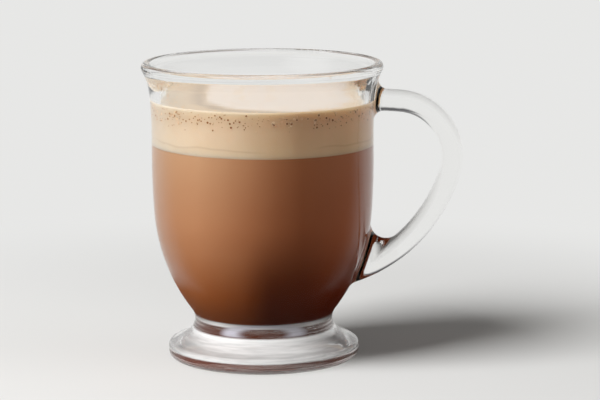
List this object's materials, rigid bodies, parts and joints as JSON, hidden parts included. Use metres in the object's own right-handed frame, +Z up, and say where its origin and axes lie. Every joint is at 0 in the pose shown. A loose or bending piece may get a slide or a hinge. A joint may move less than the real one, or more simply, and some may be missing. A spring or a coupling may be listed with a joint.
{
  "type": "caffe mocha in a glass mug",
  "caption": "Caffe mocha in a clear footed glass mug with a loop handle: chocolate drink under a layer of milk foam.",
  "frame": {"origin": "centre of the foot's flat underside, on the mug's axis", "axes": "+Z up out of the mug's mouth, +X from the axis towards the handle"},
  "size_m": [0.134, 0.1006, 0.1243],
  "materials": {
    "clear_glass": "clear, polished pressed glass",
    "mocha_drink": "opaque milky chocolate brown, darker towards the bottom",
    "milk_foam": "soft beige milk foam with small bubbles and a paler middle"
  },
  "bodies": {
    "root": {"glass_mug": "clear_glass", "mocha": "mocha_drink", "foam": "milk_foam"}
  },
  "joints": []
}
